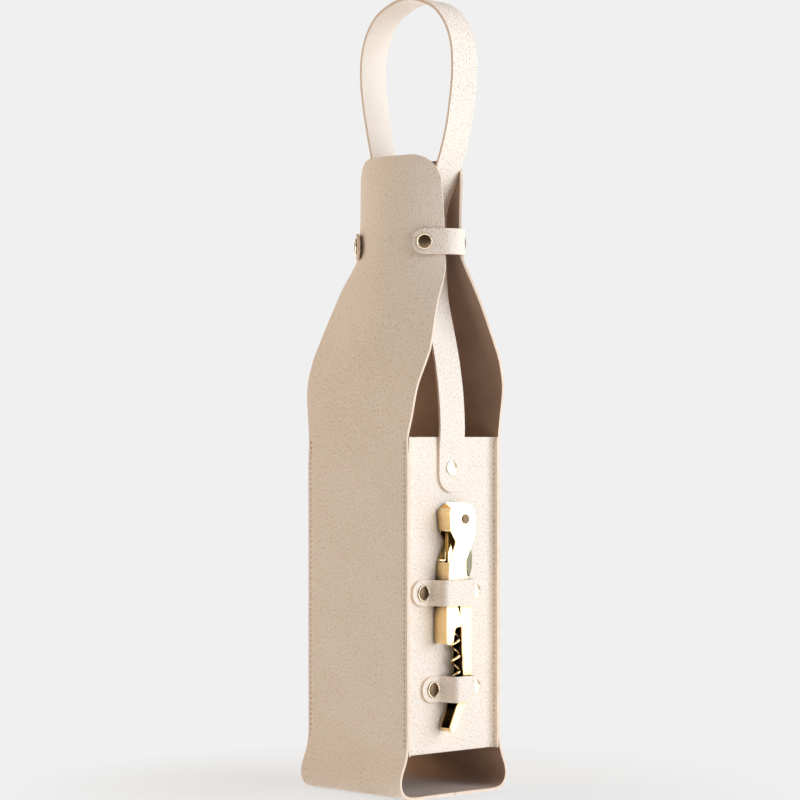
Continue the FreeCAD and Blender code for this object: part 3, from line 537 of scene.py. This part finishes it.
line = [Vector(((lean + spread) * mm, 0, height * mm)) for spread, height, lean in read]
grid = strapGrid(line, Vector((0, 1, 0)), carry["width"])
loop = leatherSheet("carryStrap", grid, carry["inLoop"], lined=False)
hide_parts("carry_strap")
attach(loop, "carrier")
print("carry strap", round(length))

# Closure straps: riveted behind the neck, wrapped over the side gap and snapped in front.
closure = {
    "width": 15 * mm, "lift": 0.3 * mm, "half": 36.8 * mm, "edge": 7 * mm, "bulge": 15 * mm,
    "lean": 5 * mm, "tail": 17 * mm, "reach": 18.5 * mm, "ease": 0.5,
    "steps": 8, "gapSteps": 12,
    # where the fold would begin, just short of the back flap's edge so that an open strap clears the flap; nothing
    # here reads these or folds the strap
    "foldStart": Vector((0, 1.5, 0)) * mm, "foldEnd": Vector((0, -9, 0)) * mm,
}


def neckArc():  # radius, middle and edge angle of the neck's round section
    half, bulge = closure["half"], closure["bulge"]
    radius = (half * half + bulge * bulge) / (2 * bulge)
    return radius, closure["edge"] + bulge - radius, math.asin(half / radius)


def tongueSpot(reach):  # place and outward way on a tongue, which bends less than the neck under it
    radius, middle, edgeTurn = neckArc()
    lift = radius + closure["lift"] + leather["thick"]
    wide = lift / closure["ease"]
    turn = edgeTurn - closure["ease"] * reach / radius
    start = Vector((math.sin(edgeTurn), -math.cos(edgeTurn)))
    way = Vector((math.sin(turn), -math.cos(turn)))
    return start * (lift - wide) + way * wide - Vector((0, middle)), way


def neckLine(way):
    radius, middle, edgeTurn = neckArc()
    lift = closure["lift"] + leather["thick"]
    side = closure["edge"] / math.cos(edgeTurn)
    gapMiddle = Vector((closure["half"] - math.sin(edgeTurn) * side, 0))
    flat = []
    for share in evenShares(closure["steps"]):
        turn = edgeTurn - closure["tail"] / radius * (1 - share)
        flat.append(Vector((math.sin(turn), math.cos(turn))) * (radius + lift) + Vector((0, middle)))
    gapTurn = math.pi / 2 - edgeTurn
    for share in evenShares(closure["gapSteps"])[1:-1]:
        turn = gapTurn * (1 - 2 * share)
        flat.append(gapMiddle + Vector((math.cos(turn), math.sin(turn))) * (side + lift))
    flat += [tongueSpot(closure["reach"] * share)[0] for share in evenShares(closure["steps"])]
    return [Vector((closure["lean"] + way * spot.x, spot.y, 0)) for spot in flat]


for name, way in (("right", 1), ("left", -1)):
    hinge = Vector(joints[name + "_closure_open"]["pos_m"])
    line = [spot + upward * hinge.z for spot in neckLine(way)]
    strap = leatherSheet(name + "ClosureStrap", strapGrid(line, upward, closure["width"]),
                         Vector((closure["lean"], 0, hinge.z)))
    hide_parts(name + "_closure_tail", name + "_closure_strap")
    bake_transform(strap)
print("closure straps", len(line))

# Tool straps: riveted behind the corkscrew, over it, and snapped in front of it.
tool = {
    "width": 15 * mm, "footBend": 1.6 * mm, "topBend": 2.9 * mm, "fold": 2.4 * mm, "splay": 0.6 * mm,
    "wallFoot": 5 * mm, "wallTop": {"upper": 7.0 * mm, "lower": 8.2 * mm}, "wallGap": 2.1 * mm,
    "step": 1.6 * mm,
}
for name in ("upper", "lower"):
    low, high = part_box(name + "_tool_strap")
    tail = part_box(name + "_tool_tail")[1].y
    capMiddle = sum((corner.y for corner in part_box(name + "_tool_cap")), 0.0) / 2
    hinge = Vector(joints[name + "_tool_strap_open"]["pos_m"])
    foot = hinge.x
    rightWall = hinge.y - tool["wallGap"]
    corners = [
        (foot, tail), (foot, rightWall + tool["splay"], tool["footBend"]),
        (high.x, rightWall, tool["topBend"]),
        (high.x, capMiddle + tool["wallTop"][name], tool["topBend"]),
        (foot, capMiddle + tool["wallFoot"], tool["footBend"]), (foot, low.y)]
    line = [Vector((spot.x, spot.y, hinge.z)) for spot in cornerLine(corners, tool["step"])]
    strap = leatherSheet(name + "ToolStrap", strapGrid(line, upward, tool["width"]),
                         Vector((0, 0, hinge.z)))
    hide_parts(name + "_tool_tail", name + "_tool_strap")
    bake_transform(strap)
print("tool straps", len(line))

# Saddle stitches through the strip and the flanges, seen on both faces of each seam.
stitch = {
    "pitch": 3.1 * mm, "long": 2.35 * mm, "radius": 0.34 * mm, "slant": 7.0, "foot": 28 * mm,
    "head": 205 * mm, "around": 6, "rings": 4, "proud": 0.1 * mm, "sunk": 0.02 * mm,
}


def stitchRow(bm, place, out):
    count = int((stitch["head"] - stitch["foot"]) / stitch["pitch"])
    for n in range(count + 1):
        height = stitch["foot"] + n * stitch["pitch"]
        made = bmesh.ops.create_uvsphere(bm, u_segments=stitch["around"],
                                         v_segments=stitch["rings"], radius=1)
        turned = Matrix.Rotation(math.radians(stitch["slant"]) * out, 4, "Y")
        scaled = Matrix.Diagonal((stitch["radius"], stitch["radius"], stitch["long"] / 2, 1))
        bmesh.ops.transform(bm, verts=made["verts"],
                            matrix=Matrix.Translation((place.x, place.y, height)) @ turned @ scaled)


for name, side in (("front", -1), ("back", 1)):
    bm = bmesh.new()
    for way in (1, -1):
        across = way * (strip["halfWidth"] - strip["seamInset"])
        outer = strip["halfDepth"] - strip["seamDip"] + stitch["proud"]
        stitchRow(bm, Vector((across, side * outer)), side)
        short = min(0.0, abs(across) - gusset["face"] - gusset["bend"])
        inner = gusset["flange"] - gusset["bend"] + math.sqrt(gusset["bend"] ** 2 - short ** 2)
        stitchRow(bm, Vector((across, side * (inner - stitch["sunk"]))), -side)
    thread = finishMesh(name + "SeamThread", bm, [finishes["thread"]])
    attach(thread, "carrier")
print("stitches", stitch["pitch"])

# Snap caps: a low polished disc inside a raised rim, turned on the line of each stud; the disc is dark bronze, its
# darkness partly a painted dark reflection.
cap = {
    "turns": 48, "disc": 3.8 * mm, "weld": 0.01 * mm,
    # radius and rise, in millimetres, from the middle of the disc to the middle of the underside
    "profile": [
        (0, 1.12), (2.4, 1.08), (3.35, 0.98), (3.62, 0.86), (3.72, 0.66), (3.86, 0.66), (4.02, 0.92),
        (4.22, 1.02), (4.44, 0.94), (4.58, 0.7), (4.6, 0.3), (4.5, -0.25), (0, -0.25),
    ],
}


def snapCap(name, node, body, normal, base):
    bm = bmesh.new()
    verts = [bm.verts.new((radius * mm, 0, rise * mm)) for radius, rise in cap["profile"]]
    edges = [bm.edges.new(pair) for pair in zip(verts, verts[1:])]
    bmesh.ops.spin(bm, geom=verts + edges, cent=(0, 0, 0), axis=(0, 0, 1), angle=2 * math.pi,
                   steps=cap["turns"], use_merge=True)
    bmesh.ops.remove_doubles(bm, verts=bm.verts[:], dist=cap["weld"])
    bmesh.ops.recalc_face_normals(bm, faces=bm.faces[:])
    for face in bm.faces:
        spread = max(vert.co.xy.length for vert in face.verts)
        # the top disc takes the dark bronze, partly a painted dark reflection; the rest of the cap is gold
        face.material_index = 1 if spread < cap["disc"] and face.normal.z > 0 else 0
    turned = upward.rotation_difference(normal).to_matrix().to_4x4()
    bmesh.ops.transform(bm, verts=bm.verts[:], matrix=Matrix.Translation(base) @ turned)
    piece = finishMesh(name, bm, [finishes["snap"], finishes["bronze"]])
    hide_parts(node)
    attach(piece, body)


def middleOf(node):
    low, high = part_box(node)
    return (low + high) / 2


for name in ("upper", "lower"):
    spot = middleOf(name + "_tool_cap")
    spot.x = joints[name + "_tool_strap_open"]["pos_m"][0]
    snapCap(name + "ToolCap", name + "_tool_cap", name + "_tool", Vector((1, 0, 0)), spot)
for name, way in (("right", 1), ("left", -1)):
    spot, out = tongueSpot(closure["reach"] - closure["width"] / 2)
    base = Vector((closure["lean"] + way * spot.x, spot.y, middleOf(name + "_closure_cap").z))
    snapCap(name + "ClosureCap", name + "_closure_cap", name + "_closure",
            Vector((way * out.x, out.y, 0)), base)
print("snap caps", cap["turns"])

# Metal fittings: the turned and pressed parts again, with cut edges eased and one web opened.
fitting = {
    "finish": {"tool_gold": "tool", "snap_metal": "snap", "knife_steel": "steel"},
    "own": {"head_pin": "bronze"}, "weld": 0.002 * mm, "turn": 33.0, "level": 1.0, "weight": 90,
    "eased": ("corkscrew_handle", "corkscrew_boot", "foil_knife", "head_pin"),
    "edge": 0.15 * mm, "slack": 0.001,
    # opposite corners, in millimetres, of the opening that is cut through the web of a channel
    "window": {"corkscrew_lever": ((41.1, -14, 135.6), (49.5, -5, 153.6))},
}


def cutWindow(bm, low, high):
    box = bmesh.new()
    bmesh.ops.create_cube(box, size=1)
    bmesh.ops.scale(box, vec=high - low, verts=box.verts[:])
    bmesh.ops.translate(box, vec=(low + high) / 2, verts=box.verts[:])
    whole, cutter = finishMesh("whole", bm, []), finishMesh("cutter", box, [])
    cut = whole.modifiers.new("window", "BOOLEAN")
    cut.object = cutter
    shown = bpy.context.evaluated_depsgraph_get()
    opened = bpy.data.meshes.new_from_object(whole.evaluated_get(shown))
    bm = bmesh.new()
    bm.from_mesh(opened)
    for spare in (whole, cutter):
        bpy.data.objects.remove(spare)
    bpy.data.meshes.remove(opened)
    return bm


def isSound(bm):  # a face that crosses itself has more area in its triangles than in its outline
    corners = ([loop.vert.co for loop in triangle] for triangle in bm.calc_loop_triangles())
    spread = sum(area_tri(*corner) for corner in corners)
    outline = sum(face.calc_area() for face in bm.faces)
    return abs(spread - outline) < fitting["slack"] * outline


def easeEdges(bm):  # the mesh stays as it was where easing would spoil it
    eased = bm.copy()
    bmesh.ops.dissolve_limit(eased, angle_limit=math.radians(fitting["level"]),
                             verts=eased.verts[:], edges=eased.edges[:])
    limit = math.radians(fitting["turn"])
    edges = [edge for edge in eased.edges if edge.is_manifold and edge.calc_face_angle() > limit]
    bmesh.ops.bevel(eased, geom=edges, offset=fitting["edge"], offset_type="OFFSET", segments=2,
                    profile=0.5, affect="EDGES", material=-1, clamp_overlap=True)
    return eased if isSound(eased) else bm


def metalFitting(node, body, slot):
    bm = bmesh.new()
    bm.from_mesh(nodes[node].data)
    bmesh.ops.remove_doubles(bm, verts=bm.verts[:], dist=fitting["weld"])
    if node in fitting["window"]:
        low, high = (Vector(corner) * mm for corner in fitting["window"][node])
        bm = cutWindow(bm, low, high)
    if node in fitting["eased"]:
        bm = easeEdges(bm)
    words = node.split("_")
    piece = finishMesh(words[0] + "".join(word.capitalize() for word in words[1:]), bm,
                       [finishes[fitting["own"].get(node, fitting["finish"][slot])]])
    piece.data.set_sharp_from_angle(angle=math.radians(fitting["turn"]))
    flatter = piece.modifiers.new("flatter", "WEIGHTED_NORMAL")
    flatter.weight = fitting["weight"]
    flatter.keep_sharp = True
    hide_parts(node)
    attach(piece, body)


slots = {part["node"]: part["material_slot"] for part in frame["record"]["subparts"]}
for body, members in frame["record"]["behaviour"]["bodies"].items():
    for node in members:
        if slots[node] in fitting["finish"] and not node.endswith("_cap"):
            metalFitting(node, body, slots[node])
print("metal fittings", len(fitting["eased"]))

# Studio: pale sweep, a wide soft lamp behind at the right and a weak warm one at the left in front.
studio = {
    "paper": tone(240, 240, 240), "sheet": tone(252, 252, 252), "floorSize": 9, "floorShine": 3.0,
    "nearShare": 0.7, "nearRing": 0.11, "farRing": 0.24,
    "key": 64.5, "keySize": 2.3, "keyPlace": (1.95, 0.95, 0.55), "keyTint": (0.82, 0.93, 1.05),
    "fill": 12.4, "fillSize": 0.9, "fillPlace": (-1.85, -1.2, 1.1), "fillTint": (1, 0.75, 0.51),
    "aim": (0, 0, 0.22), "ambient": 0.42, "ambientTint": (1, 0.9, 0.8, 1),
    "darkSide": (0.731, -0.682, 0), "darkShare": 0.16, "darkFrom": 0.7, "darkTo": 0.93,
    "azimuth": 47.0, "distance": 1.57, "eye": 0.2068, "sensor": 36, "focalPixels": 2650.0,
    "picture": 800.0, "horizon": 439.0, "axis": 404.0,
}


def paperFinish():  # lit paper near the carrier that passes into even paper farther away
    finish = newFinish("paper")
    light = finish.node("ShaderNodeLightPath", {}, {}, "Is Camera Ray")
    plain = finish.node("ShaderNodeBsdfDiffuse", {}, {"Color": studio["sheet"]})
    even = finish.node("ShaderNodeEmission", {}, {"Color": studio["paper"], "Strength": 1.0})
    away = finish.node("ShaderNodeVectorMath", {"operation": "LENGTH"}, {0: finish.place()}, "Value")
    ring = finish.node("ShaderNodeMapRange", {}, {
        0: away, 1: studio["nearRing"], 2: studio["farRing"], 3: studio["nearShare"], 4: 1.0})
    mixed = finish.node("ShaderNodeMixShader", {}, {0: light * ring, 1: plain, 2: even})
    shine = finish.node("ShaderNodeEmission", {},
                        {"Color": studio["paper"], "Strength": studio["floorShine"]})
    glossy = finish.node("ShaderNodeLightPath", {}, {}, "Is Glossy Ray")
    mixed = finish.node("ShaderNodeMixShader", {}, {0: glossy, 1: mixed, 2: shine})
    finish.node("ShaderNodeOutputMaterial", {}, {"Surface": mixed})
    return finish.owner


def sweep():
    bm = bmesh.new()
    bmesh.ops.create_grid(bm, x_segments=2, y_segments=2, size=studio["floorSize"])
    floor = finishMesh("floor", bm, [paperFinish()])


def lamp(name, power, size, place, tint):
    data = bpy.data.lights.new(name, "AREA")
    data.energy = power
    data.size = size
    data.color = tint
    light = bpy.data.objects.new(name, data)
    light.location = place
    aim = Vector(studio["aim"]) - Vector(place)
    light.rotation_euler = aim.to_track_quat("-Z", "Y").to_euler()
    bpy.context.scene.collection.objects.link(light)


def surroundings():  # soft light all round; mirrors see paper with one dark side
    world = Finish(bpy.data.worlds.new("studio"))
    bpy.context.scene.world = world.owner
    camera, glossy = (world.node("ShaderNodeLightPath", {}, {}, "Is %s Ray" % ray)
                      for ray in ("Camera", "Glossy"))
    soft = world.node("ShaderNodeBackground", {},
                      {"Color": studio["ambientTint"], "Strength": studio["ambient"]})
    paper = world.node("ShaderNodeBackground", {}, {"Color": studio["paper"]})
    shade = world.node("ShaderNodeBackground", {},
                       {"Color": studio["paper"], "Strength": studio["darkShare"]})
    facing = world.node("ShaderNodeVectorMath", {"operation": "DOT_PRODUCT"},
                        {0: world.place("Generated"), 1: studio["darkSide"]}, "Value")
    near = world.node("ShaderNodeMapRange", {}, {
        "Value": facing, "From Min": studio["darkFrom"], "From Max": studio["darkTo"]})
    mirrored = world.node("ShaderNodeMixShader", {}, {0: near, 1: paper, 2: shade})
    seen = world.sums("MAXIMUM", camera, glossy)
    both = world.node("ShaderNodeMixShader", {}, {0: seen, 1: soft, 2: mirrored})
    world.node("ShaderNodeOutputWorld", {}, {"Surface": both})


sweep()
lamp("keyLamp", studio["key"], studio["keySize"], studio["keyPlace"], studio["keyTint"])
lamp("fillLamp", studio["fill"], studio["fillSize"], studio["fillPlace"], studio["fillTint"])
surroundings()

turn = math.radians(studio["azimuth"])
lens = bpy.data.cameras.new("camera")
lens.sensor_width = studio["sensor"]
lens.lens = studio["focalPixels"] / studio["picture"] * lens.sensor_width
lens.shift_y = (studio["horizon"] / studio["picture"]) - 0.5
lens.shift_x = 0.5 - studio["axis"] / studio["picture"]
camera = bpy.data.objects.new("camera", lens)
camera.location = (math.sin(turn) * studio["distance"], -math.cos(turn) * studio["distance"],
                   studio["eye"])
camera.rotation_euler = (math.pi / 2, 0, turn)
bpy.context.scene.collection.objects.link(camera)
bpy.context.scene.camera = camera
bpy.context.scene.view_settings.view_transform = "Standard"
print("studio", round(lens.lens, 1))
